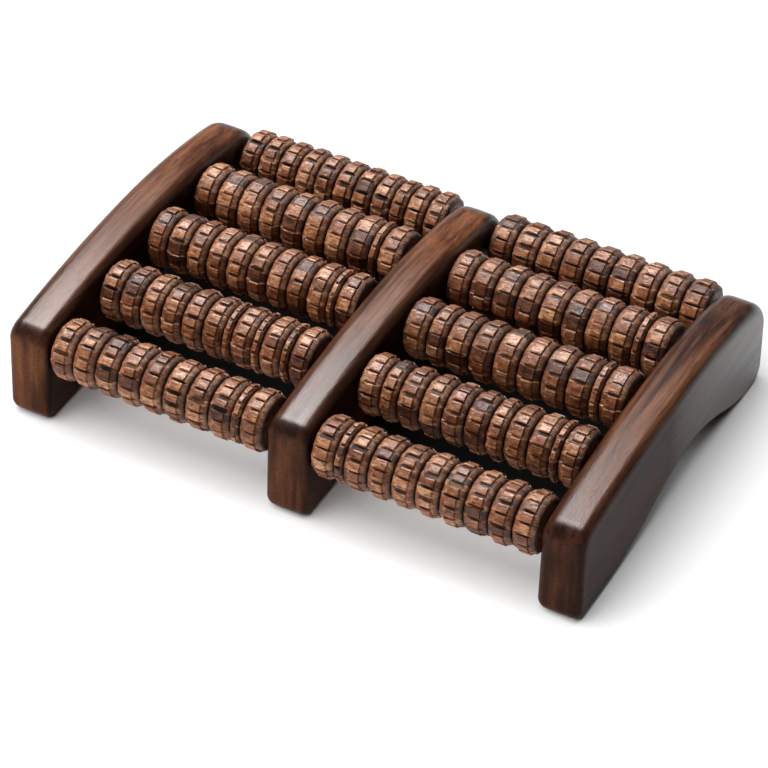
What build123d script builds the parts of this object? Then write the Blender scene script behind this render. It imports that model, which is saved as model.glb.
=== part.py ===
from build123d import *
import os
from math import cos, radians, sqrt

# Foot massage roller: three arched hardwood rails carry two bays of turned, toothed wooden
# rollers, five rows deep. X runs along the rollers, from left to right. Y runs from the front
# row to the back row. Z is up. The origin is on the floor, below the middle rail, under the
# axle of the third row. All sizes are in millimetres.

# ---- rails -------------------------------------------------------------------------------
RAIL_PITCH = 132.0            # from the middle plane of one rail to the next
RAIL_THICKNESS = 21.0
RAIL_FRONT = -93.2            # the front ends, at the top
TOE_FRONT = -96.2             # and at the floor, so they lean out a little
RAIL_BACK = 89.5              # the plane of the back ends
CROWN_Y = 8.0                 # where the arched top is highest
CROWN_Z = 56.0
CROWN_FRONT_RADIUS = 600.0    # the top falls gently to the front
CROWN_BACK_RADIUS = 320.0     # and faster to the back
FRONT_FOOT_END = -68.0        # the front foot is flat from the toe to here
BACK_FOOT_START = 74.0        # the back foot is flat from here to the heel
ARCH_TOP = (15.0, 16.4)       # highest point of the hollow between the feet, in Y and Z
ARCH_FRONT_SLOPE = (-26.0, 8.2)
ARCH_BACK_SLOPE = (42.0, 9.8)
TOE_CORNER = 6.0
TOP_FRONT_CORNER = 9.0
TOP_BACK_CORNER = 18.0
HEEL_CORNER = 8.0
EDGE_ROUND = 5.0              # round along every long edge of a rail

# ---- axles and washers -------------------------------------------------------------------
ROW_PITCH = 40.5
ROW_HEIGHTS = [35.4, 40.0, 42.0, 40.1, 32.6]    # of the axles, front row first
AXLE_RADIUS = 2.5
AXLE_SEAT_DEPTH = 12.0        # blind hole in each outer rail
SEAT_CLEARANCE = 0.02
AXLE_END_CHAMFER = 0.5
WASHER_RADIUS = 5.5
WASHER_BORE_RADIUS = 2.7
WASHER_THICKNESS = 1.0

# ---- rollers -----------------------------------------------------------------------------
END_GAP = 1.5                 # from a roller's end to the rail beside it
TOOTH_APOTHEM = 14.2          # from the axis to the flat face of a tooth
BLANK_RADIUS = 14.6           # radius of the turned bead before its faces are cut
SHOULDER_RADIUS = 13.0
VALLEY_RADIUS = 11.0          # bottom of the groove between two beads
END_FACE_RADIUS = 11.4
BORE_CLEARANCE = 0.06         # running fit on the axle
CROWN_SHARE = 0.36            # part of a bead's width that is its toothed crown
SHOULDER_SHARE = 0.11         # part of its width from the groove to the shoulder
BEAD_WIDTHS = {"W": 1.0, "M": 0.78, "N": 0.38}    # wide, medium and narrow, relative

# Beads from left to right on each roller, front row first.
BEADS = {
    "left": ["WWWWWWWWNW", "WWWWWWNWNWNW", "WWWWWWWWWNW", "WWWWWWWWNW", "WWWWWWWWMWW"],
    "right": ["WNWWWWWWWW", "WMWWWWMWWNW", "WMWWWWWWNW", "WWWWWWWWNW", "WWWWWWWWW"],
}
# Teeth round each row's rollers: how many, how far turned, and the slot between two of them.
TEETH = [
    {"count": 16, "turn": 0.0, "slot_width": 1.9, "slot_depth": 1.2},
    {"count": 16, "turn": 7.0, "slot_width": 1.6, "slot_depth": 1.0},
    {"count": 14, "turn": 4.0, "slot_width": 1.3, "slot_depth": 0.7},
    {"count": 14, "turn": 6.0, "slot_width": 1.3, "slot_depth": 0.7},
    {"count": 14, "turn": 8.0, "slot_width": 1.9, "slot_depth": 1.3},
]

# ---- worked out --------------------------------------------------------------------------
HALF_THICKNESS = RAIL_THICKNESS / 2
ROLLER_LENGTH = RAIL_PITCH - RAIL_THICKNESS - 2 * END_GAP
AXLE_HALF_LENGTH = RAIL_PITCH - HALF_THICKNESS + AXLE_SEAT_DEPTH
BAY_CENTRES = {"left": -RAIL_PITCH / 2, "right": RAIL_PITCH / 2}
ROWS = len(ROW_HEIGHTS)


def row_axis(row):
    """Y and Z of a row's axle, the front row being row 0."""
    return (row - (ROWS - 1) / 2) * ROW_PITCH, ROW_HEIGHTS[row]


def save(builder, name):
    builder.part.label = name
    export_step(builder.part, f"parts/{name}.step")


# ---- rails -------------------------------------------------------------------------------
def crown_point(y):
    """Y and Z of the rail's arched top, at this distance from the third row."""
    radius = CROWN_FRONT_RADIUS if y < CROWN_Y else CROWN_BACK_RADIUS
    return y, CROWN_Z - radius + sqrt(radius ** 2 - (y - CROWN_Y) ** 2)


TOE = (TOE_FRONT, 0)
HEEL = (RAIL_BACK, 0)
FRONT_TOP = crown_point(RAIL_FRONT)
BACK_TOP = crown_point(RAIL_BACK)


def rail_outline():
    """Side view of a rail: two feet, the hollow between them, and the arched top."""
    Line(TOE, (FRONT_FOOT_END, 0))
    Spline(
        (FRONT_FOOT_END, 0), ARCH_FRONT_SLOPE, ARCH_TOP, ARCH_BACK_SLOPE, (BACK_FOOT_START, 0),
        tangents=[(1, 0), (1, 0)],
    )
    Line((BACK_FOOT_START, 0), HEEL)
    Line(HEEL, BACK_TOP)
    ThreePointArc(BACK_TOP, crown_point((CROWN_Y + RAIL_BACK) / 2), (CROWN_Y, CROWN_Z))
    ThreePointArc((CROWN_Y, CROWN_Z), crown_point((CROWN_Y + RAIL_FRONT) / 2), FRONT_TOP)
    Line(FRONT_TOP, TOE)


def round_corners(sketch):
    """Round the four corners of the side view, where X is the rail's length and Y its height."""
    for (y, z), radius in (
        (TOE, TOE_CORNER),
        (FRONT_TOP, TOP_FRONT_CORNER),
        (HEEL, HEEL_CORNER),
        (BACK_TOP, TOP_BACK_CORNER),
    ):
        corner = sketch.vertices().sort_by_distance((y, z, 0))[0]
        fillet(corner, radius)


def make_rail(name, centre, hole_start, hole_depth):
    """One rail, with five axle holes that run along +X from the plane X = hole_start."""
    with BuildPart() as rail:
        with BuildSketch(Plane.YZ.offset(centre)) as side:
            with BuildLine():
                rail_outline()
            make_face()
            round_corners(side)
        extrude(amount=HALF_THICKNESS, both=True)
        cheeks = rail.faces().filter_by(Axis.X)
        fillet(cheeks.edges(), EDGE_ROUND)
        with BuildSketch(Plane.YZ.offset(hole_start)):
            with Locations(*[row_axis(row) for row in range(ROWS)]):
                Circle(AXLE_RADIUS + SEAT_CLEARANCE)
        extrude(amount=hole_depth, mode=Mode.SUBTRACT)
    save(rail, name)


# ---- axles and washers -------------------------------------------------------------------
def make_axle(row):
    """A steel rod through both rollers of a row and the middle rail, seated in the outer rails."""
    with BuildPart() as axle:
        with BuildSketch(Plane.YZ):
            with Locations(row_axis(row)):
                Circle(AXLE_RADIUS)
        extrude(amount=AXLE_HALF_LENGTH, both=True)
        chamfer(axle.edges().filter_by(GeomType.CIRCLE), AXLE_END_CHAMFER)
    save(axle, f"axle_{row + 1}")


def make_washer(name, row, face):
    """A fibre washer that starts at the plane X = face and spaces a roller from its rail."""
    with BuildPart() as washer:
        with BuildSketch(Plane.YZ.offset(face)):
            with Locations(row_axis(row)):
                Circle(WASHER_RADIUS)
                Circle(WASHER_BORE_RADIUS, mode=Mode.SUBTRACT)
        extrude(amount=WASHER_THICKNESS)
    save(washer, name)


# ---- rollers -----------------------------------------------------------------------------
def bead_profile(pattern, start):
    """Points (x, radius) along the top of a roller, from its left end to its right end."""
    scale = ROLLER_LENGTH / sum(BEAD_WIDTHS[bead] for bead in pattern)
    x = start
    points = [(x, END_FACE_RADIUS)]
    for bead in pattern:
        width = BEAD_WIDTHS[bead] * scale
        side = (1 - CROWN_SHARE) / 2
        points += [
            (x + SHOULDER_SHARE * width, SHOULDER_RADIUS),
            (x + side * width, BLANK_RADIUS),
            (x + (1 - side) * width, BLANK_RADIUS),
            (x + (1 - SHOULDER_SHARE) * width, SHOULDER_RADIUS),
            (x + width, VALLEY_RADIUS),
        ]
        x += width
    points[-1] = (x, END_FACE_RADIUS)
    return points


def toothed_section(teeth):
    """Section of the teeth: a polygon of flat faces with a slot cut at each corner."""
    pitch = 360 / teeth["count"]
    first_corner = pitch / 2 - teeth["turn"]
    corner_radius = TOOTH_APOTHEM / cos(radians(pitch / 2))
    RegularPolygon(TOOTH_APOTHEM, teeth["count"], major_radius=False, rotation=first_corner)
    with PolarLocations(corner_radius, teeth["count"], start_angle=first_corner):
        Rectangle(2 * teeth["slot_depth"], teeth["slot_width"], mode=Mode.SUBTRACT)


def make_roller(bay, row):
    """A turned wooden roller: rounded beads, teeth cut along the axis, and an axle bore."""
    y, z = row_axis(row)
    start = BAY_CENTRES[bay] - ROLLER_LENGTH / 2
    outline = [(x, z + radius) for x, radius in bead_profile(BEADS[bay][row], start)]
    with BuildPart() as roller:
        with BuildSketch(Plane.XZ.offset(-y)):
            with BuildLine():
                Polyline((start, z), *outline, (start + ROLLER_LENGTH, z), close=True)
            make_face()
        revolve(axis=Axis((0, y, z), (1, 0, 0)))
        with BuildSketch(Plane.YZ.offset(start)):
            with Locations((y, z)):
                toothed_section(TEETH[row])
        extrude(amount=ROLLER_LENGTH, mode=Mode.INTERSECT)
        with BuildSketch(Plane.YZ.offset(start)):
            with Locations((y, z)):
                Circle(AXLE_RADIUS + BORE_CLEARANCE)
        extrude(amount=ROLLER_LENGTH, mode=Mode.SUBTRACT)
    save(roller, f"roller_{bay}_{row + 1}")


# ---- the whole object --------------------------------------------------------------------
os.makedirs("parts", exist_ok=True)

make_rail("rail_left", -RAIL_PITCH, -AXLE_HALF_LENGTH, RAIL_THICKNESS)
make_rail("rail_middle", 0.0, -HALF_THICKNESS, RAIL_THICKNESS)
make_rail("rail_right", RAIL_PITCH, AXLE_HALF_LENGTH - AXLE_SEAT_DEPTH, AXLE_SEAT_DEPTH)

for row_index in range(ROWS):
    make_axle(row_index)
    for bay_name, bay_centre in BAY_CENTRES.items():
        left_rail_face = bay_centre - RAIL_PITCH / 2 + HALF_THICKNESS
        right_rail_face = bay_centre + RAIL_PITCH / 2 - HALF_THICKNESS
        make_washer(f"washer_{bay_name}_{row_index + 1}_a", row_index, left_rail_face)
        make_washer(f"washer_{bay_name}_{row_index + 1}_b", row_index, right_rail_face - WASHER_THICKNESS)
        make_roller(bay_name, row_index)
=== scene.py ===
"""Foot massage roller: ten toothed wooden rollers between three dark, lacquered rails.

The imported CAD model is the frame. The rails and the rollers are replaced by finer pieces, and
the axles and washers keep their CAD shapes. X runs along the rollers, Y from front to back and
Z up. Sizes named here are in millimetres, and MM turns them into the frame's metres.
"""

import bpy
import numpy as np
from mathutils import Matrix, Vector


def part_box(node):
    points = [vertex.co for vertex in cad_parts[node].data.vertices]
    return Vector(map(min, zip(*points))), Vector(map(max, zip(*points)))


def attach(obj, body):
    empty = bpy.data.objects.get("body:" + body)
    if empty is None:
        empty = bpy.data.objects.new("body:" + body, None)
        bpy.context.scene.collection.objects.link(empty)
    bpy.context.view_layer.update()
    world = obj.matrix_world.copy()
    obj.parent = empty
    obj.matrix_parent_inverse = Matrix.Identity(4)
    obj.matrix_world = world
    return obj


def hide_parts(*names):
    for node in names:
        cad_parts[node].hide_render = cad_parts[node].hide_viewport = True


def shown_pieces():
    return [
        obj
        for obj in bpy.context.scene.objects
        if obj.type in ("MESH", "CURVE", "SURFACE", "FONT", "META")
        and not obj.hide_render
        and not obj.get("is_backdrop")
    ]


MM = 0.001

# ---- rollers, as the CAD model has them ----------------------------------------------------
BEAD_WIDTHS = {"W": 1.0, "M": 0.78, "N": 0.38}    # wide, medium and narrow, relative
BEADS = {
    "left": ["WWWWWWWWNW", "WWWWWWNWNWNW", "WWWWWWWWWNW", "WWWWWWWWNW", "WWWWWWWWMWW"],
    "right": ["WNWWWWWWWW", "WMWWWWMWWNW", "WMWWWWWWNW", "WWWWWWWWNW", "WWWWWWWWW"],
}
TEETH = [
    {"count": 16, "turn": 0.0, "slot_width": 1.9, "slot_depth": 1.2},
    {"count": 16, "turn": 7.0, "slot_width": 1.6, "slot_depth": 1.0},
    {"count": 14, "turn": 4.0, "slot_width": 1.3, "slot_depth": 0.7},
    {"count": 14, "turn": 6.0, "slot_width": 1.3, "slot_depth": 0.7},
    {"count": 14, "turn": 8.0, "slot_width": 1.9, "slot_depth": 1.3},
]
TOOTH_APOTHEM = 14.2
LARGEST_RADIUS = 14.2         # the corners between a tooth's face and its slots are turned to this
BORE_RADIUS = 2.56
END_FACE_RADIUS = 11.4
END_RADII = (BORE_RADIUS, 4.0, 9.0)               # rings across an end face, from the bore out

# A bead from its left groove to its middle: share of its width, radius of the turned wood,
# and how much of the tooth and of the slot between two teeth has been cut there.
HALF_BEAD = [
    (0.000, 10.95, 0.0, 0.0),
    (0.012, 11.50, 0.0, 0.0),
    (0.032, 12.20, 0.0, 0.0),
    (0.065, 12.72, 0.0, 0.0),
    (0.100, 13.02, 0.0, 0.2),
    (0.160, 13.32, 0.0, 0.5),
    (0.220, 13.54, 0.0, 0.8),
    (0.262, 13.66, 0.0, 1.0),
    (0.269, 13.48, 0.0, 1.0),
    (0.275, 13.48, 0.0, 1.0),
    (0.285, 13.94, 1.0, 1.0),
    (0.310, 14.20, 1.0, 1.0),
    (0.400, 14.20, 1.0, 1.0),
]
BEAD_MIDDLE = (0.500, 14.20, 1.0, 1.0)
TOOTH_EDGE_WIDTH = 0.55       # worn edge of a tooth, beside a slot
TOOTH_EDGE_DROP = 0.18
TOOTH_FACE_COLUMNS = 4        # columns of points across a tooth's face
SLOT_WALL_WIDTH = 0.36
SLOT_SHADE_DEPTH = 0.55       # share of a slot's depth where its painted shade is at its darkest
SHOULDER_FACET = 0.958        # how deep the faces run on over the shoulders
NARROW_BEAD_DROP = 0.25       # a narrow bead's teeth lie this much lower
NARROW_SLOT_DEPTH = 0.6       # and its slots have this share of the depth

# How the teeth and the slots differ at random. Angles are in degrees, either way.
SEEDS = {"left": 3, "right": 7}
SEED_STEP = 100               # from one row's seed to the next
BEAD_TURN = 3.0
SLOT_SHIFT = 0.07             # share of the distance between two slots, either way
SLOT_WIDTH_LEAST = 0.60       # share of the CAD slot's width
SLOT_WIDTH_SPREAD = 0.95      # most that is added to that share
SLOT_DEPTHS = (0.80, 1.30)    # shares of the CAD slot's depth
TOOTH_LEAN = 8.0
TOOTH_DROP = 0.35             # most that a tooth lies lower
LOW_TEETH = 0.14              # share of the teeth that were cut lower and are stained darker
LOW_TOOTH_DROP = 0.38
LOW_TOOTH_TONE = -0.5         # the tone of other teeth is between 0 and 1

# What the rollers' wood reads from the mesh. Relief also paints shade: the lower the wood lies, the
# darker it is.
GROOVE_RADIUS = 10.8          # where relief is 0; it is 1 at TOOTH_APOTHEM
RIGHT_SHOULDER_SHADE = 0.10   # how much darker each bead's right shoulder is painted, as shade
# The end faces get the painted shade of wood at this relief.
END_RELIEF = 0.55
END_TONE = 0.5

# ---- rails, as the CAD model has them ------------------------------------------------------
CROWN_Y = 8.0
CROWN_Z = 56.0
CROWN_FRONT_RADIUS = 600.0
CROWN_BACK_RADIUS = 320.0
RAIL_FRONT = -93.2
TOE_FRONT = -96.2
RAIL_BACK = 89.5
ARCH_POINTS = [(-68.0, 0.0), (-26.0, 8.2), (15.0, 16.4), (42.0, 9.8), (74.0, 0.0)]
TOE_CORNER = 6.0
TOP_FRONT_CORNER = 9.0
TOP_BACK_CORNER = 18.0
HEEL_CORNER = 8.0
# Unlike the CAD rails, these have long edges whose rounding differs, and domed faces between.
TOP_LEFT_ROUND = 6.5
TOP_RIGHT_ROUND = 4.6
LOW_LEFT_ROUND = 4.6
LOW_RIGHT_ROUND = 3.2
TOP_DOME = 0.55
LOW_DOME = 0.25
SOLE_LEVEL = 0.2              # below this the outline is a sole, which stays flat
# How finely a rail is divided.
OUTLINE_GAP = 0.8
CROWN_STEPS = 90
ARCH_STEPS = 24
CORNER_STEPS = 14
EDGE_STEPS = 11
TOP_STEPS = 9
# How much lighter brown the rails are, part rubbed stain and part painted light: along the top, and
# on the front end of each rail. The top is painted browner where it faces up at least this much, in
# full from FLAT_FROM + FLAT_SPAN on.
FLAT_FROM = 0.90
FLAT_SPAN = 0.06
FRONT_SHARPNESS = 8           # the higher, the less of the rounded corners counts as front
# Painted light as well as rubbed stain: how brown the top is changes along Y and from rail to rail
# with the light that falls there, and so does the front ends' brown.
RUBBED_AND_LIT_Y = (-90.0, -50.0, 0.0, 70.0)
RAIL_FINISH_AND_LIGHT = {
    "left": {"rubbed_and_lit": (0.28, 0.38, 0.64, 1.00), "front": 0.72, "gloss": 1.00},
    "middle": {"rubbed_and_lit": (0.28, 0.34, 0.55, 1.35), "front": 0.44, "gloss": 1.20},
    "right": {"rubbed_and_lit": (0.26, 0.32, 0.72, 0.80), "front": 0.24, "gloss": 0.78},
}
POLISHED_Y = (-10.0, 90.0)    # the sides get glossier from the first to the second

# Faces that meet at more than this many degrees have a crisp edge between them.
ROLLER_SHARP_ANGLE = 15.0
RAIL_SHARP_ANGLE = 50.0
SHEET_SHARP_ANGLE = 30.0

# ---- camera and studio ---------------------------------------------------------------------
CAMERA_AZIMUTH = 28.986
CAMERA_ELEVATION = 41.017
CAMERA_DISTANCE = 1602.469
CAMERA_RIGHT = -3.104
CAMERA_UP = 1.477
CAMERA_LENS = 166.39
CAMERA_CLIP = (0.05, 50.0)    # in metres
SENSOR_WIDTH = 36.0
PANEL_DIRECTION = (-0.37, 0.26, 0.885)
PANEL_EDGE = 0.94             # cosine of the angle from its middle where the panel fades out
PANEL_CORE = 0.980            # cosine of the angle up to which it is at its brightest
PANEL_STRENGTH = 330.0
# Suns light the floor alone: the direction they shine from, irradiance, and width in degrees.
SUNS = {
    "floor_key": ((-0.42, -0.36, 0.83), 4.0, 76.0),
    "floor_fill": ((-0.05, 0.40, 0.90), 1.5, 60.0),
}
# Softboxes light the object alone: direction, distance, width and depth in metres, radiance.
SOFTBOXES = {
    "overhead": ((-0.39, 0.17, 0.91), 1.5, 1.1, 0.7, 8.2),
    "left": ((-0.80, -0.15, 0.55), 1.6, 1.2, 1.0, 5.5),
    "front": ((0.10, -0.75, 0.55), 1.6, 1.6, 1.0, 0.9),
}
FLOOR_RADIUS = 6.0            # in metres
FLOOR_SIDES = 96
# The flag lies between the outer rails' inner faces, and under the left rail's arch.
FLAG_OUTLINE = [
    (-121.5, -60.0), (121.5, -60.0), (121.5, 86.0), (-121.5, 86.0),
    (-121.5, 68.0), (-141.0, 68.0), (-141.0, -50.0), (-121.5, -50.0),
]
FLAG_HEIGHT = 2.5


# ============================================================================================
# Node helpers
# ============================================================================================
def new_material(name):
    """An empty node material with one Principled shader."""
    material = bpy.data.materials.new(name)
    material.use_nodes = True
    shader = material.node_tree.nodes["Principled BSDF"]
    return material, material.node_tree, shader


def object_coordinates(tree, scale, offset=(0.0, 0.0, 0.0)):
    """The piece's own coordinates in metres, scaled along each axis."""
    source = tree.nodes.new("ShaderNodeTexCoord")
    mapping = tree.nodes.new("ShaderNodeMapping")
    mapping.inputs["Scale"].default_value = scale
    mapping.inputs["Location"].default_value = offset
    tree.links.new(source.outputs["Object"], mapping.inputs["Vector"])
    return mapping.outputs["Vector"]


def noise(tree, vector, detail, roughness=0.55, distortion=0.0):
    """Noise that is as fine as its coordinates are scaled."""
    node = tree.nodes.new("ShaderNodeTexNoise")
    node.inputs["Scale"].default_value = 1.0
    node.inputs["Detail"].default_value = detail
    node.inputs["Roughness"].default_value = roughness
    node.inputs["Distortion"].default_value = distortion
    tree.links.new(vector, node.inputs["Vector"])
    return node.outputs["Fac"]


def attribute(tree, name):
    """A number that add_layer gave to every point."""
    node = tree.nodes.new("ShaderNodeAttribute")
    node.attribute_name = name
    return node.outputs["Fac"]


def feed(tree, value, socket):
    """Link an output to a socket, or set the socket to a plain value."""
    if isinstance(value, bpy.types.NodeSocket):
        tree.links.new(value, socket)
    else:
        socket.default_value = value


def math(tree, operation, first, second, clamp=False):
    node = tree.nodes.new("ShaderNodeMath")
    node.operation = operation
    node.use_clamp = clamp
    feed(tree, first, node.inputs[0])
    feed(tree, second, node.inputs[1])
    return node.outputs["Value"]


def weighted(tree, *parts):
    """The sum of some values: parts are (value, weight) pairs."""
    total = None
    for value, weight in parts:
        part = math(tree, "MULTIPLY", value, weight)
        total = part if total is None else math(tree, "ADD", total, part)
    return total


def ramp(tree, factor, stops):
    """Colours along a factor: stops are (position, colour) pairs."""
    node = tree.nodes.new("ShaderNodeValToRGB")
    elements = node.color_ramp.elements
    while len(elements) < len(stops):
        elements.new(0.5)
    for element, (position, colour) in zip(elements, stops):
        element.position = position
        element.color = (*colour, 1.0)
    tree.links.new(factor, node.inputs["Fac"])
    return node.outputs["Color"]


def mix(tree, blend, factor, first, second):
    """Two colours blended. Inputs 6 and 7 and output 2 are the node's colour sockets."""
    node = tree.nodes.new("ShaderNodeMix")
    node.data_type = "RGBA"
    node.blend_type = blend
    feed(tree, factor, node.inputs["Factor"])
    feed(tree, first, node.inputs[6])
    feed(tree, second, node.inputs[7])
    return node.outputs[2]


def shaded(tree, colour, shade):
    """A colour times a grey between 0 and 1."""
    grey = ramp(tree, shade, [(0.0, (0.0, 0.0, 0.0)), (1.0, (1.0, 1.0, 1.0))])
    return mix(tree, "MULTIPLY", 1.0, colour, grey)


def map_range(tree, value, low, high, to_low, to_high):
    node = tree.nodes.new("ShaderNodeMapRange")
    feed(tree, value, node.inputs["Value"])
    node.inputs["From Min"].default_value = low
    node.inputs["From Max"].default_value = high
    node.inputs["To Min"].default_value = to_low
    node.inputs["To Max"].default_value = to_high
    return node.outputs["Result"]


def bump(tree, height, distance, strength, normal=None):
    """Relief from a height, over another relief if one is given."""
    node = tree.nodes.new("ShaderNodeBump")
    node.inputs["Strength"].default_value = strength
    node.inputs["Distance"].default_value = distance
    tree.links.new(height, node.inputs["Height"])
    if normal is not None:
        tree.links.new(normal, node.inputs["Normal"])
    return node.outputs["Normal"]


# ============================================================================================
# Materials
# ============================================================================================
def rail_wood():
    """Espresso-stained hardwood under lacquer: brown on top, part rubbed stain and part painted
    light, nearly black below.

    Its grain runs along Y, and upright on the front ends.
    """
    material, tree, shader = new_material("rail_wood")
    sweep = object_coordinates(tree, (85.0, 6.0, 60.0))
    broad = noise(tree, sweep, detail=3.0, distortion=0.7)
    lines = object_coordinates(tree, (480.0, 13.0, 420.0), (3.1, 0.7, 1.9))
    fine = noise(tree, lines, detail=5.0, roughness=0.65, distortion=0.35)
    hairs = object_coordinates(tree, (1700.0, 60.0, 1700.0), (1.3, 2.2, 0.4))
    hair = noise(tree, hairs, detail=3.0, roughness=0.6)
    clouds = object_coordinates(tree, (22.0, 16.0, 30.0), (2.0, 0.5, 1.0))
    cloud = noise(tree, clouds, detail=2.0)
    rubbed_and_lit = attribute(tree, "rubbed_and_lit")
    front = attribute(tree, "front")
    top = attribute(tree, "top")

    grain = weighted(tree, (broad, 0.55), (fine, 0.45))
    ends = object_coordinates(tree, (150.0, 150.0, 14.0), (0.2, 0.9, 0.4))
    upright = map_range(tree, noise(tree, ends, detail=2.0), 0.0, 1.0, 0.15, 0.85)
    grain = math(tree, "MULTIPLY", grain, math(tree, "SUBTRACT", 1.0, front))
    grain = math(tree, "ADD", grain, math(tree, "MULTIPLY", upright, front))
    dark = ramp(tree, grain, [
        (0.36, (0.0090, 0.0035, 0.0024)),
        (0.48, (0.0210, 0.0075, 0.0046)),
        (0.56, (0.0420, 0.0140, 0.0080)),
        (0.66, (0.0680, 0.0240, 0.0125)),
    ])
    brown = ramp(tree, grain, [
        (0.36, (0.0420, 0.0125, 0.0052)),
        (0.46, (0.1300, 0.0400, 0.0150)),
        (0.55, (0.2500, 0.0860, 0.0320)),
        (0.66, (0.3600, 0.1400, 0.0580)),
    ])
    # Painted light as well as rubbed stain: the brown shows through the dark stain where the mesh
    # says so, in clouds.
    patchy = math(tree, "MULTIPLY", rubbed_and_lit, map_range(tree, cloud, 0.3, 0.7, 0.55, 1.0))
    colour = mix(tree, "MIX", patchy, dark, brown)
    pores = map_range(tree, hair, 0.36, 0.46, 0.45, 1.0)
    colour = shaded(tree, colour, pores)
    tree.links.new(colour, shader.inputs["Base Color"])

    gloss = map_range(tree, fine, 0.3, 0.7, 0.27, 0.40)
    tree.links.new(gloss, shader.inputs["Roughness"])
    along = tree.nodes.new("ShaderNodeSeparateXYZ")
    tree.links.new(object_coordinates(tree, (1.0, 1.0, 1.0)), along.inputs["Vector"])
    front_y, back_y = POLISHED_Y
    polish = map_range(tree, along.outputs["Y"], front_y * MM, back_y * MM, 0.05, 0.85)
    polish = math(tree, "MULTIPLY", polish, math(tree, "SUBTRACT", 1.0, top, clamp=True))
    polish = math(tree, "ADD", polish, math(tree, "MULTIPLY", top, 0.22))
    tree.links.new(polish, shader.inputs["Specular IOR Level"])

    swells = object_coordinates(tree, (90.0, 16.0, 90.0), (5.0, 1.0, 2.0))
    waves = noise(tree, swells, detail=2.0)
    relief = bump(tree, waves, 0.0005, 0.3)
    relief = bump(tree, fine, 0.00018, 0.6, relief)
    relief = bump(tree, hair, 0.00009, 0.8, relief)
    tree.links.new(relief, shader.inputs["Normal"])
    return material


def roller_wood():
    """Warm brown oiled hardwood: grain along X, dark pores, worn teeth, and painted shade in the
    grooves, the slots and on the right shoulders.
    """
    material, tree, shader = new_material("roller_wood")
    bands = noise(tree, object_coordinates(tree, (9.0, 120.0, 120.0)), detail=3.0, distortion=0.4)
    lines = object_coordinates(tree, (85.0, 900.0, 900.0), (0.4, 1.7, 2.9))
    streaks = noise(tree, lines, detail=4.0, roughness=0.65, distortion=0.3)
    specks = object_coordinates(tree, (420.0, 2100.0, 2100.0), (1.0, 0.0, 3.0))
    dashes = noise(tree, specks, detail=2.0)
    spots = object_coordinates(tree, (260.0, 420.0, 420.0), (0.7, 0.1, 1.1))
    mottle = noise(tree, spots, detail=3.0)
    tone = attribute(tree, "tone")
    relief = attribute(tree, "relief")
    slot = attribute(tree, "slot")

    grain = weighted(tree, (bands, 0.17), (streaks, 0.36), (mottle, 0.34), (tone, 0.13))
    colour = ramp(tree, grain, [
        (0.32, (0.050, 0.014, 0.0055)),
        (0.42, (0.160, 0.046, 0.0155)),
        (0.52, (0.325, 0.112, 0.0400)),
        (0.62, (0.680, 0.340, 0.1750)),
    ])
    pores = map_range(tree, dashes, 0.34, 0.46, 0.25, 1.0)
    # Painted shade: the lower the wood lies, the darker it is, darkest in the grooves; the teeth's
    # faces are a little lighter still.
    depth = map_range(tree, relief, 0.08, 0.66, 0.04, 0.92)
    crown = map_range(tree, relief, 0.82, 0.90, 0.0, 1.0)
    depth = math(tree, "ADD", depth, math(tree, "MULTIPLY", crown, 0.08))
    shade = math(tree, "MULTIPLY", pores, depth)
    # Painted shade in the slots: darkest toward a slot's floor, each slot as dark as its random
    # tone says.
    slot_shade = math(tree, "MULTIPLY", slot, map_range(tree, tone, 0.0, 1.0, 0.97, 0.62))
    shade = math(tree, "MULTIPLY", shade, math(tree, "SUBTRACT", 1.0, slot_shade))
    tree.links.new(shaded(tree, colour, shade), shader.inputs["Base Color"])

    rough = map_range(tree, streaks, 0.3, 0.7, 0.46, 0.60)
    rough = math(tree, "SUBTRACT", rough, math(tree, "MULTIPLY", crown, 0.12))
    rough = math(tree, "ADD", rough, math(tree, "MULTIPLY", slot, 0.2))
    tree.links.new(rough, shader.inputs["Roughness"])
    shader.inputs["Specular IOR Level"].default_value = 0.42

    nicks = object_coordinates(tree, (520.0, 800.0, 800.0), (0.9, 0.3, 0.6))
    chips = noise(tree, nicks, detail=3.0)
    surface = bump(tree, mottle, 0.00055, 0.6)
    surface = bump(tree, chips, 0.00030, 0.6, surface)
    surface = bump(tree, streaks, 0.00022, 0.8, surface)
    surface = bump(tree, pores, 0.00012, 0.7, surface)
    tree.links.new(surface, shader.inputs["Normal"])
    return material


def axle_steel():
    """Drawn steel rod: fine lines along the rod, a little dull."""
    material, tree, shader = new_material("axle_steel")
    lines = noise(tree, object_coordinates(tree, (40.0, 3000.0, 3000.0)), detail=3.0)
    stains = noise(tree, object_coordinates(tree, (160.0, 160.0, 160.0)), detail=4.0)
    colour = ramp(tree, stains, [(0.3, (0.36, 0.36, 0.37)), (0.7, (0.58, 0.58, 0.58))])
    tree.links.new(colour, shader.inputs["Base Color"])
    tree.links.new(map_range(tree, lines, 0.3, 0.7, 0.22, 0.42), shader.inputs["Roughness"])
    shader.inputs["Metallic"].default_value = 1.0
    tree.links.new(bump(tree, lines, 0.00003, 0.5), shader.inputs["Normal"])
    return material


def washer_fibre():
    """Pressed dark fibre with a mottled, matt face."""
    material, tree, shader = new_material("washer_fibre")
    mottle = noise(tree, object_coordinates(tree, (900.0, 900.0, 900.0)), detail=5.0, roughness=0.7)
    colour = ramp(tree, mottle, [(0.3, (0.020, 0.012, 0.009)), (0.7, (0.060, 0.034, 0.022))])
    tree.links.new(colour, shader.inputs["Base Color"])
    tree.links.new(map_range(tree, mottle, 0.3, 0.7, 0.62, 0.85), shader.inputs["Roughness"])
    tree.links.new(bump(tree, mottle, 0.00006, 0.7), shader.inputs["Normal"])
    return material


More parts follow.
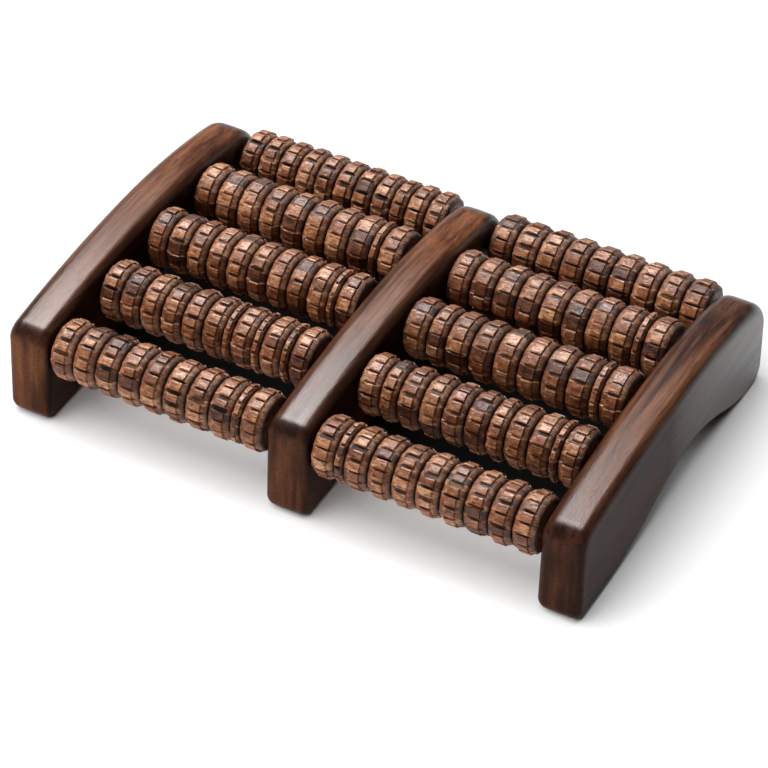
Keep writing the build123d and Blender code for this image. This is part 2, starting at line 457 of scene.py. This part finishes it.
def floor_white():
    """Plain pale studio sweep."""
    material, tree, shader = new_material("floor_white")
    mottle = noise(tree, object_coordinates(tree, (3.0, 3.0, 3.0)), detail=2.0)
    colour = ramp(tree, mottle, [(0.3, (0.90, 0.90, 0.90)), (0.7, (0.92, 0.92, 0.92))])
    tree.links.new(colour, shader.inputs["Base Color"])
    shader.inputs["Roughness"].default_value = 1.0
    shader.inputs["Specular IOR Level"].default_value = 0.0
    return material


def flag_black():
    """Black net of the studio flag: it lets a hundredth of the light through."""
    material, tree, shader = new_material("flag_black")
    weave = noise(tree, object_coordinates(tree, (800.0, 800.0, 800.0)), detail=2.0)
    colour = ramp(tree, weave, [(0.3, (0.002, 0.002, 0.002)), (0.7, (0.006, 0.006, 0.006))])
    tree.links.new(colour, shader.inputs["Base Color"])
    shader.inputs["Alpha"].default_value = 0.99
    shader.inputs["Roughness"].default_value = 1.0
    shader.inputs["Specular IOR Level"].default_value = 0.0
    return material


# ============================================================================================
# Meshes
# ============================================================================================
def mesh_piece(name, points, faces, material, sharp_angle):
    """A piece in place, in metres, with crisp edges where its faces meet at more than the angle."""
    mesh = bpy.data.meshes.new(name)
    mesh.from_pydata(points.tolist(), [], faces)
    mesh.validate()
    mesh.shade_smooth()
    mesh.set_sharp_from_angle(angle=np.radians(sharp_angle))
    mesh.materials.append(material)
    piece = bpy.data.objects.new(name, mesh)
    bpy.context.scene.collection.objects.link(piece)
    return piece


def add_layer(piece, name, values):
    """A number for every point of a piece, for its material to read."""
    layer = piece.data.attributes.new(name, "FLOAT", "POINT")
    layer.data.foreach_set("value", np.concatenate(values).astype(np.float32))


def smooth_step(share):
    """From 0 to 1, level at both ends."""
    return share * share * (3 - 2 * share)


def grid_faces(rows, columns):
    """Quads of a grid of points in which each row closes on itself."""
    here = np.arange(rows * columns).reshape(rows, columns)
    beside = np.roll(here, -1, axis=1)
    quads = np.stack([here[:-1], beside[:-1], beside[1:], here[1:]], axis=-1)
    return quads.reshape(-1, 4)


def bead_columns(rng, teeth, narrow):
    """Angles round one bead, and for each the face or the slot that it belongs to."""
    count = teeth["count"]
    pitch = 2 * np.pi / count
    shift = np.radians(rng.uniform(-BEAD_TURN, BEAD_TURN))
    slots = (np.arange(count) + 0.5) * pitch + np.radians(teeth["turn"]) + shift
    slots = slots + rng.uniform(-SLOT_SHIFT, SLOT_SHIFT, count) * pitch
    spread = SLOT_WIDTH_SPREAD * rng.uniform(0.0, 1.0, count) ** 2
    widths = teeth["slot_width"] * (SLOT_WIDTH_LEAST + spread)
    depths = teeth["slot_depth"] * rng.uniform(*SLOT_DEPTHS, count)
    if narrow:
        depths = depths * NARROW_SLOT_DEPTH
    halves = widths / 2 / TOOTH_APOTHEM
    lean = np.radians(rng.uniform(-TOOTH_LEAN, TOOTH_LEAN, count))
    apothems = TOOTH_APOTHEM - rng.uniform(0.0, TOOTH_DROP, count)
    tones = rng.uniform(0.0, 1.0, count)
    # how dark each slot's painted shade is, at random
    slot_shade = rng.uniform(0.0, 1.0, count)
    low = rng.uniform(0.0, 1.0, count) < LOW_TEETH
    apothems = apothems - LOW_TOOTH_DROP * low
    tones = np.where(low, LOW_TOOTH_TONE, tones)
    edge = TOOTH_EDGE_WIDTH / TOOTH_APOTHEM
    wall = SLOT_WALL_WIDTH / TOOTH_APOTHEM
    columns = []
    for tooth in range(count):
        turn_round = 2 * np.pi if tooth == 0 else 0.0
        start = slots[tooth - 1] - turn_round + halves[tooth - 1]
        stop = slots[tooth] - halves[tooth]
        facing = (start + stop) / 2 + lean[tooth]
        inner = np.linspace(start + edge, stop - edge, TOOTH_FACE_COLUMNS)
        face = dict(facing=facing, apothem=apothems[tooth], tone=tones[tooth], depth=0.0)
        columns.append(dict(face, angle=start, drop=TOOTH_EDGE_DROP))
        columns += [dict(face, angle=angle, drop=0.0) for angle in inner]
        columns.append(dict(face, angle=stop, drop=TOOTH_EDGE_DROP))
        cut = dict(face, depth=depths[tooth], drop=0.0, tone=slot_shade[tooth])
        columns.append(dict(cut, angle=stop + wall))
        columns.append(dict(cut, angle=slots[tooth]))
        columns.append(dict(cut, angle=slots[tooth] + halves[tooth] - wall))
    return {key: np.array([column[key] for column in columns]) for key in columns[0]}


def bead_stations(pattern, start, length):
    """Rows along a roller: (bead number, x, radius of the turned wood, tooth, slot, right half)."""
    scale = length / sum(BEAD_WIDTHS[bead] for bead in pattern)
    mirrored = [(1 - share, *rest) for share, *rest in reversed(HALF_BEAD)]
    rows = []
    x = start
    for number, bead in enumerate(pattern):
        width = BEAD_WIDTHS[bead] * scale
        for share, radius, tooth, slot in HALF_BEAD + [BEAD_MIDDLE] + mirrored:
            if share == 0.0 and number > 0:
                continue    # the bead before it ends here
            if share == 0.0 or (share == 1.0 and number == len(pattern) - 1):
                radius = END_FACE_RADIUS
            rows.append((number, x + share * width, radius, tooth, slot, share > 0.5))
        x += width
    return rows


def roller_surface(columns, radius, tooth, slot, lower):
    """Radius at each column of one row, and how much its slot has cut away there."""
    off_face = columns["angle"] - columns["facing"]
    face = columns["apothem"] - lower
    plane = np.minimum(face / np.cos(off_face), LARGEST_RADIUS) - columns["drop"]
    turned = radius * np.minimum(1.0, SHOULDER_FACET / np.cos(off_face))
    here = np.where(tooth > 0.5, np.minimum(plane, radius), turned)
    floor = face - columns["depth"]
    cut = np.maximum(here - floor, 0.0) * slot * (columns["depth"] > 0)
    return here - cut, cut


def ring_points(x, angle, radius, centre):
    """A ring round the roller's axis, in millimetres."""
    return np.stack([
        np.full(len(angle), x),
        centre.y / MM - radius * np.cos(angle),
        centre.z / MM + radius * np.sin(angle),
    ], axis=-1)


def make_roller(bay, row, centre, material):
    """One roller: a ring of points at each station, end faces and the bore."""
    rng = np.random.default_rng(SEED_STEP * (row + 1) + SEEDS[bay])
    low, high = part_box(f"roller_{bay}_{row + 1}")
    start = low.x / MM
    length = (high.x - low.x) / MM
    pattern = BEADS[bay][row]
    teeth = TEETH[row]
    beads = [bead_columns(rng, teeth, bead == "N") for bead in pattern]
    stations = bead_stations(pattern, start, length)
    count = len(beads[0]["angle"])
    rings, relief, slots, tones = [], [], [], []

    def add_end_face(x, angle, radii):
        for radius in radii:
            rings.append(ring_points(x, angle, radius, centre))
            relief.append(np.full(count, END_RELIEF))
            slots.append(np.zeros(count))
            tones.append(np.full(count, END_TONE))

    add_end_face(stations[0][1], beads[0]["angle"], END_RADII)
    for number, x, radius, tooth, slot, right_side in stations:
        columns = beads[number]
        lower = NARROW_BEAD_DROP if pattern[number] == "N" else 0.0
        radii, cut = roller_surface(columns, radius, tooth, slot, lower)
        rings.append(ring_points(x, columns["angle"], radii, centre))
        # Painted shade: each bead's right shoulder is given a lower relief, and so is darker.
        shoulder_shade = RIGHT_SHOULDER_SHADE if right_side and tooth < 0.5 else 0.0
        height = (radii + cut - GROOVE_RADIUS) / (TOOTH_APOTHEM - GROOVE_RADIUS)
        relief.append(height - shoulder_shade)
        slots.append(np.clip(cut / teeth["slot_depth"] / SLOT_SHADE_DEPTH, 0.0, 1.0))
        tones.append(columns["tone"])
    add_end_face(stations[-1][1], beads[-1]["angle"], reversed(END_RADII))

    first = np.arange(count)
    last = (len(rings) - 1) * count + first
    bore = np.stack([last, np.roll(last, -1), np.roll(first, -1), first], axis=-1)
    faces = np.concatenate([grid_faces(len(rings), count), bore])[:, ::-1].tolist()
    points = np.concatenate(rings) * MM
    piece = mesh_piece(f"{bay}_roller_{row + 1}", points, faces, material, ROLLER_SHARP_ANGLE)
    for name, values in (("relief", relief), ("slot", slots), ("tone", tones)):
        add_layer(piece, name, values)
    return piece


def crown_height(y):
    """Height of a rail's arched top at this distance from the third row."""
    radius = np.where(y < CROWN_Y, CROWN_FRONT_RADIUS, CROWN_BACK_RADIUS)
    return CROWN_Z - radius + np.sqrt(radius ** 2 - (y - CROWN_Y) ** 2)


def smooth_through(points, steps):
    """A cubic through the points, up to the last one, level at both ends; steps for each gap."""
    points = np.array(points)
    gaps = np.linalg.norm(np.diff(points, axis=0), axis=1)
    count = len(points)
    matrix = np.zeros((count, count))
    right = np.zeros((count, 2))
    matrix[0, 0] = matrix[-1, -1] = 1.0
    right[0] = right[-1] = (1.0, 0.0)
    for i in range(1, count - 1):
        matrix[i, i - 1:i + 2] = (gaps[i], 2 * (gaps[i - 1] + gaps[i]), gaps[i - 1])
        before = (points[i] - points[i - 1]) / gaps[i - 1] * gaps[i]
        after = (points[i + 1] - points[i]) / gaps[i] * gaps[i - 1]
        right[i] = 3 * (before + after)
    slopes = np.linalg.solve(matrix, right)
    pieces = []
    for i in range(count - 1):
        t = np.linspace(0, 1, steps, endpoint=False)[:, None]
        pieces.append(
            (2 * t ** 3 - 3 * t ** 2 + 1) * points[i]
            + (t ** 3 - 2 * t ** 2 + t) * gaps[i] * slopes[i]
            + (3 * t ** 2 - 2 * t ** 3) * points[i + 1]
            + (t ** 3 - t ** 2) * gaps[i] * slopes[i + 1]
        )
    return np.concatenate(pieces)


def rounded_corner(before, corner, after, radius):
    """Points of the arc that rounds a corner between two nearly straight sides."""
    corner = np.array(corner, float)
    one = np.array(before, float) - corner
    two = np.array(after, float) - corner
    one /= np.linalg.norm(one)
    two /= np.linalg.norm(two)
    half = np.arccos(one @ two) / 2
    middle = (one + two) / np.linalg.norm(one + two)
    centre = corner + middle * radius / np.sin(half)
    first = corner + one * radius / np.tan(half) - centre
    last = corner + two * radius / np.tan(half) - centre
    turn = np.arccos(first @ last / radius ** 2)
    t = np.linspace(0, 1, CORNER_STEPS)[:, None]
    return centre + (np.sin((1 - t) * turn) * first + np.sin(t * turn) * last) / np.sin(turn)


def evenly_spaced(points, gap):
    """The same closed line with points about gap apart."""
    loop = np.concatenate([points, points[:1]])
    along = np.concatenate([[0], np.cumsum(np.linalg.norm(np.diff(loop, axis=0), axis=1))])
    wanted = np.linspace(0, along[-1], int(along[-1] / gap), endpoint=False)
    return np.stack([np.interp(wanted, along, loop[:, axis]) for axis in (0, 1)], axis=-1)


def rail_outline():
    """Side view of a rail as (y, z) points, from the front foot round by the back to the top."""
    front_top = (RAIL_FRONT, float(crown_height(RAIL_FRONT)))
    back_top = (RAIL_BACK, float(crown_height(RAIL_BACK)))
    toe = (TOE_FRONT, 0.0)
    heel = (RAIL_BACK, 0.0)
    top_y = np.linspace(RAIL_BACK - TOP_BACK_CORNER, RAIL_FRONT + TOP_FRONT_CORNER, CROWN_STEPS)
    top = np.stack([top_y, crown_height(top_y)], axis=-1)
    line = np.concatenate([
        rounded_corner(front_top, toe, ARCH_POINTS[0], TOE_CORNER),
        smooth_through(ARCH_POINTS, ARCH_STEPS),
        [ARCH_POINTS[-1]],
        rounded_corner(ARCH_POINTS[-1], heel, back_top, HEEL_CORNER),
        rounded_corner(heel, back_top, top[0], TOP_BACK_CORNER),
        top[2:-2],    # its ends belong to the rounded corners
        rounded_corner(top[-1], front_top, toe, TOP_FRONT_CORNER),
    ])
    return evenly_spaced(line, OUTLINE_GAP)


def rail_rings(half, left_round, right_round):
    """(x, inset, how much the surface faces outward from the outline), from left to right."""
    rings = []
    for quarter in np.radians(np.linspace(0, 90, EDGE_STEPS)):
        x = -half + left_round * (1 - np.cos(quarter))
        rings.append((x, left_round * (1 - np.sin(quarter)), np.sin(quarter)))
    for share in np.linspace(0, 1, TOP_STEPS)[1:-1]:
        x = -half + left_round + share * (2 * half - left_round - right_round)
        rings.append((x, np.zeros(len(left_round)), 1.0))
    for quarter in np.radians(np.linspace(90, 0, EDGE_STEPS)):
        x = half - right_round * (1 - np.cos(quarter))
        rings.append((x, right_round * (1 - np.sin(quarter)), np.sin(quarter)))
    return rings


def make_rail(name, node, finish_and_light, material):
    """A rail as copies of its outline from left to right, with rounded long edges."""
    low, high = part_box(node)
    centre = (low.x + high.x) / 2 / MM
    half = (high.x - low.x) / 2 / MM
    outline = rail_outline()
    ahead = np.roll(outline, -1, axis=0) - np.roll(outline, 1, axis=0)
    ahead /= np.linalg.norm(ahead, axis=1)[:, None]
    inward = np.stack([-ahead[:, 1], ahead[:, 0]], axis=-1)

    upness = np.clip(-inward[:, 1], 0, 1)
    rounding = smooth_step(upness)
    left_round = LOW_LEFT_ROUND + (TOP_LEFT_ROUND - LOW_LEFT_ROUND) * rounding
    right_round = LOW_RIGHT_ROUND + (TOP_RIGHT_ROUND - LOW_RIGHT_ROUND) * rounding
    dome = LOW_DOME + (TOP_DOME - LOW_DOME) * upness
    dome = np.where(outline[:, 1] < SOLE_LEVEL, 0.0, dome)

    # Painted light as well as rubbed stain: the flat top that faces up is browner, by a share that
    # changes along Y.
    browned = smooth_step(np.clip((upness - FLAT_FROM) / FLAT_SPAN, 0, 1))
    browned = browned * np.interp(outline[:, 0], RUBBED_AND_LIT_Y, finish_and_light["rubbed_and_lit"])
    frontness = np.clip(inward[:, 0], 0, 1) ** FRONT_SHARPNESS

    rings = rail_rings(half, left_round, right_round)
    points, rubbed_and_lit, fronts, tops = [], [], [], []
    for x, inset, outward in rings:
        inset = inset + dome * (x / half) ** 2
        moved = outline + inward * inset[:, None]
        points.append(np.stack([centre + x, moved[:, 0], moved[:, 1]], axis=-1))
        # Painted light and shade: the rounded long edges are left dark, and the front ends are
        # browner as well.
        rubbed_and_lit.append((browned + finish_and_light["front"] * frontness) * outward ** 2)
        fronts.append(frontness)
        tops.append(rounding * outward * finish_and_light["gloss"])

    count = len(outline)
    faces = grid_faces(len(rings), count)[:, ::-1].tolist()
    faces.append(list(range(count)))
    faces.append(list(range(len(rings) * count - 1, (len(rings) - 1) * count - 1, -1)))
    points = np.concatenate(points) * MM
    piece = mesh_piece(name, points, faces, material, RAIL_SHARP_ANGLE)
    for layer, values in (("rubbed_and_lit", rubbed_and_lit), ("front", fronts), ("top", tops)):
        add_layer(piece, layer, values)
    return piece


# ============================================================================================
# Studio
# ============================================================================================
def make_camera():
    """The camera that was fitted to the photo."""
    azimuth = np.radians(CAMERA_AZIMUTH)
    elevation = np.radians(CAMERA_ELEVATION)
    back = Vector((
        np.sin(azimuth) * np.cos(elevation),
        -np.cos(azimuth) * np.cos(elevation),
        np.sin(elevation),
    ))
    right = Vector((np.cos(azimuth), np.sin(azimuth), 0.0))
    up = back.cross(right)
    data = bpy.data.cameras.new("camera")
    data.lens = CAMERA_LENS
    data.sensor_width = SENSOR_WIDTH
    data.clip_start, data.clip_end = CAMERA_CLIP
    camera = bpy.data.objects.new("camera", data)
    camera.matrix_world = Matrix((right, up, back)).transposed().to_4x4()
    camera.location = (back * CAMERA_DISTANCE + right * CAMERA_RIGHT + up * CAMERA_UP) * MM
    bpy.context.scene.collection.objects.link(camera)
    bpy.context.scene.camera = camera


def aimed_light(name, kind, direction, lit):
    """A light that shines from the direction, on the lit collection alone, unseen in the gloss."""
    light = bpy.data.objects.new(name, bpy.data.lights.new(name, kind))
    light.rotation_mode = "QUATERNION"
    light.rotation_quaternion = Vector(direction).to_track_quat("Z", "Y")
    light.visible_glossy = False
    light.light_linking.receiver_collection = lit
    bpy.context.scene.collection.objects.link(light)
    return light


def make_softbox(name, direction, distance, width, depth, radiance, lit):
    """A rectangular light that faces the object."""
    light = aimed_light(name, "AREA", direction, lit)
    light.location = Vector(direction).normalized() * distance
    light.data.shape = "RECTANGLE"
    light.data.size = width
    light.data.size_y = depth
    light.data.energy = radiance * np.pi * width * depth


def make_sun(name, direction, irradiance, angle, lit):
    """An even light from far away, as wide as the angle."""
    light = aimed_light(name, "SUN", direction, lit)
    light.data.energy = irradiance
    light.data.angle = np.radians(angle)


def make_world():
    """What the gloss sees: a pale horizon, a dim ceiling, and a bright soft panel overhead."""
    world = bpy.data.worlds.new("studio")
    bpy.context.scene.world = world
    world.use_nodes = True
    tree = world.node_tree
    source = tree.nodes.new("ShaderNodeTexCoord")
    split = tree.nodes.new("ShaderNodeSeparateXYZ")
    tree.links.new(source.outputs["Generated"], split.inputs["Vector"])
    colour = ramp(tree, split.outputs["Z"], [
        (0.00, (0.80, 0.80, 0.80)),
        (0.08, (0.34, 0.34, 0.34)),
        (0.30, (0.10, 0.10, 0.10)),
        (1.00, (0.10, 0.10, 0.10)),
    ])
    towards = tree.nodes.new("ShaderNodeVectorMath")
    towards.operation = "DOT_PRODUCT"
    tree.links.new(source.outputs["Generated"], towards.inputs[0])
    towards.inputs[1].default_value = Vector(PANEL_DIRECTION).normalized()
    panel = map_range(tree, towards.outputs["Value"], PANEL_EDGE, PANEL_CORE, 1.0, PANEL_STRENGTH)
    background = tree.nodes["Background"]
    tree.links.new(colour, background.inputs["Color"])
    tree.links.new(panel, background.inputs["Strength"])
    world.cycles_visibility.diffuse = False


def make_floor():
    """A broad round floor under the feet."""
    angles = np.linspace(0, 2 * np.pi, FLOOR_SIDES, endpoint=False)
    points = np.stack([
        FLOOR_RADIUS * np.cos(angles),
        FLOOR_RADIUS * np.sin(angles),
        np.zeros(FLOOR_SIDES),
    ], axis=-1)
    disc = [list(range(FLOOR_SIDES))]
    floor = mesh_piece("floor", points, disc, floor_white(), SHEET_SHARP_ANGLE)
    floor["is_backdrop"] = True
    return floor


def make_flag():
    """A studio flag low between the rails, which no camera or gloss sees, to darken the floor."""
    points = np.array([(x, y, FLAG_HEIGHT) for x, y in FLAG_OUTLINE]) * MM
    sheet = [list(range(len(points)))]
    flag = mesh_piece("flag", points, sheet, flag_black(), SHEET_SHARP_ANGLE)
    flag.visible_camera = False
    flag.visible_glossy = False
    flag.visible_transmission = False
    flag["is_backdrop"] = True


# ============================================================================================
# The scene
# ============================================================================================
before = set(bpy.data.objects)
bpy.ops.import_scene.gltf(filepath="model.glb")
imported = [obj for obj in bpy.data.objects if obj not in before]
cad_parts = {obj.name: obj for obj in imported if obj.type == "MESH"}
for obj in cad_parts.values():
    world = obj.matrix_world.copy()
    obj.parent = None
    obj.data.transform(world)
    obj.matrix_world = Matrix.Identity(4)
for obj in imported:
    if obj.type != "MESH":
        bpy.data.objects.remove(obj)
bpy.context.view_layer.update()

make_camera()
make_world()
floor = make_floor()
bpy.context.scene.view_settings.view_transform = "Standard"

rail_material = rail_wood()
roller_material = roller_wood()
for side, finish_and_light in RAIL_FINISH_AND_LIGHT.items():
    rail = make_rail(f"{side}_rail", f"rail_{side}", finish_and_light, rail_material)
    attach(rail, "frame")
    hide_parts(f"rail_{side}")

for bay in ("left", "right"):
    for row in range(len(TEETH)):
        node = f"roller_{bay}_{row + 1}"
        axle_low, axle_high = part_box(f"axle_{row + 1}")
        roller = make_roller(bay, row, (axle_low + axle_high) / 2, roller_material)
        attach(roller, node)
        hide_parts(node)

finishes = {"axle": axle_steel(), "washer": washer_fibre()}
for name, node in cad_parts.items():
    kind = name.split("_")[0]
    if kind in finishes:
        node.data.materials.clear()
        node.data.materials.append(finishes[kind])

massager = bpy.data.collections.new("massager")
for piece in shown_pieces():
    massager.objects.link(piece)
ground = bpy.data.collections.new("ground")
ground.objects.link(floor)
make_flag()
for name, sun in SUNS.items():
    make_sun(name, *sun, ground)
for name, softbox in SOFTBOXES.items():
    make_softbox(name, *softbox, massager)
